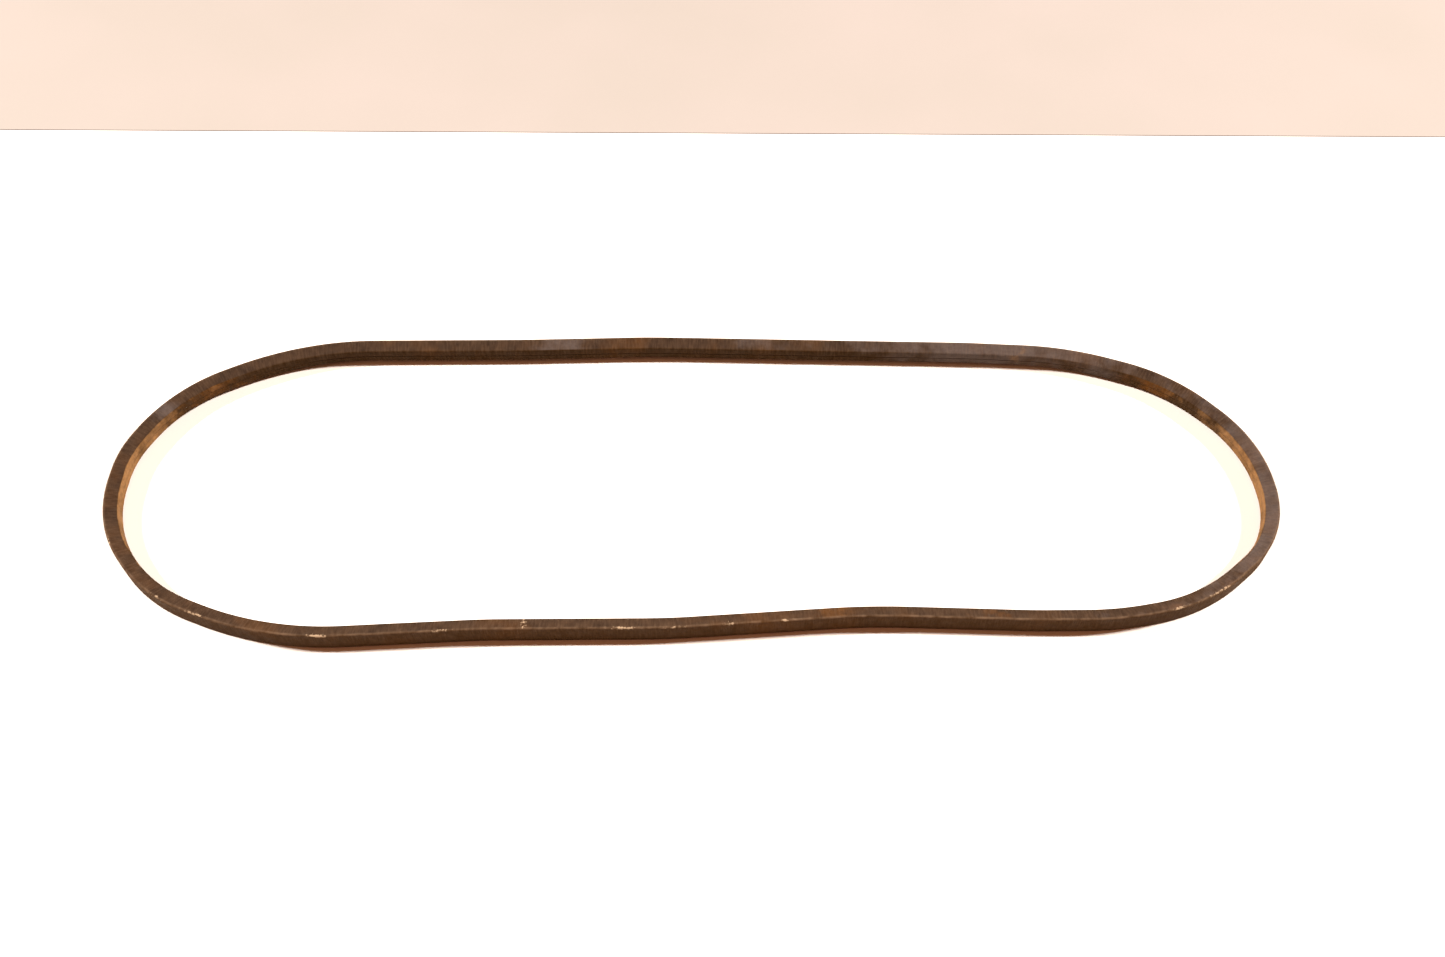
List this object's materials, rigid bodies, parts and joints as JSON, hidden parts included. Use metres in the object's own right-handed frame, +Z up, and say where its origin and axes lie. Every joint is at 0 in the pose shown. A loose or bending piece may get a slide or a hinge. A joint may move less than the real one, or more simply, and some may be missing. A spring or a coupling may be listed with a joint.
{
  "type": "wrapped v-belt",
  "caption": "Endless wrapped V-belt of wedge section, with a fabric jacket, rubber layers and a wound tension cord, lying flat as a free oval loop.",
  "frame": {"origin": "under the middle of the loop's box, on the surface that the belt lies on", "axes": "+X along the loop's long way, +Y across it, +Z up, along the belt's width"},
  "size_m": [0.6806, 0.2136, 0.013],
  "materials": {
    "cover_fabric": "worn rubber-impregnated woven fabric, dusty brown-grey",
    "inner_fabric": "rubber-impregnated woven fabric",
    "cushion_rubber": "matt black rubber",
    "adhesion_gum": "matt soft gum",
    "tension_cord": "twisted polyester cord dipped in adhesive",
    "core_rubber": "matt black rubber"
  },
  "bodies": {
    "root": {"cover_outer_ply": "cover_fabric", "cover_inner_ply": "inner_fabric", "top_cushion": "cushion_rubber", "upper_adhesion_gum": "adhesion_gum", "tension_cord_turn_1": "tension_cord", "tension_cord_turn_2": "tension_cord", "tension_cord_turn_3": "tension_cord", "tension_cord_turn_4": "tension_cord", "tension_cord_turn_5": "tension_cord", "tension_cord_turn_6": "tension_cord", "tension_cord_turn_7": "tension_cord", "lower_adhesion_gum": "adhesion_gum", "compression_core": "core_rubber"}
  },
  "joints": []
}
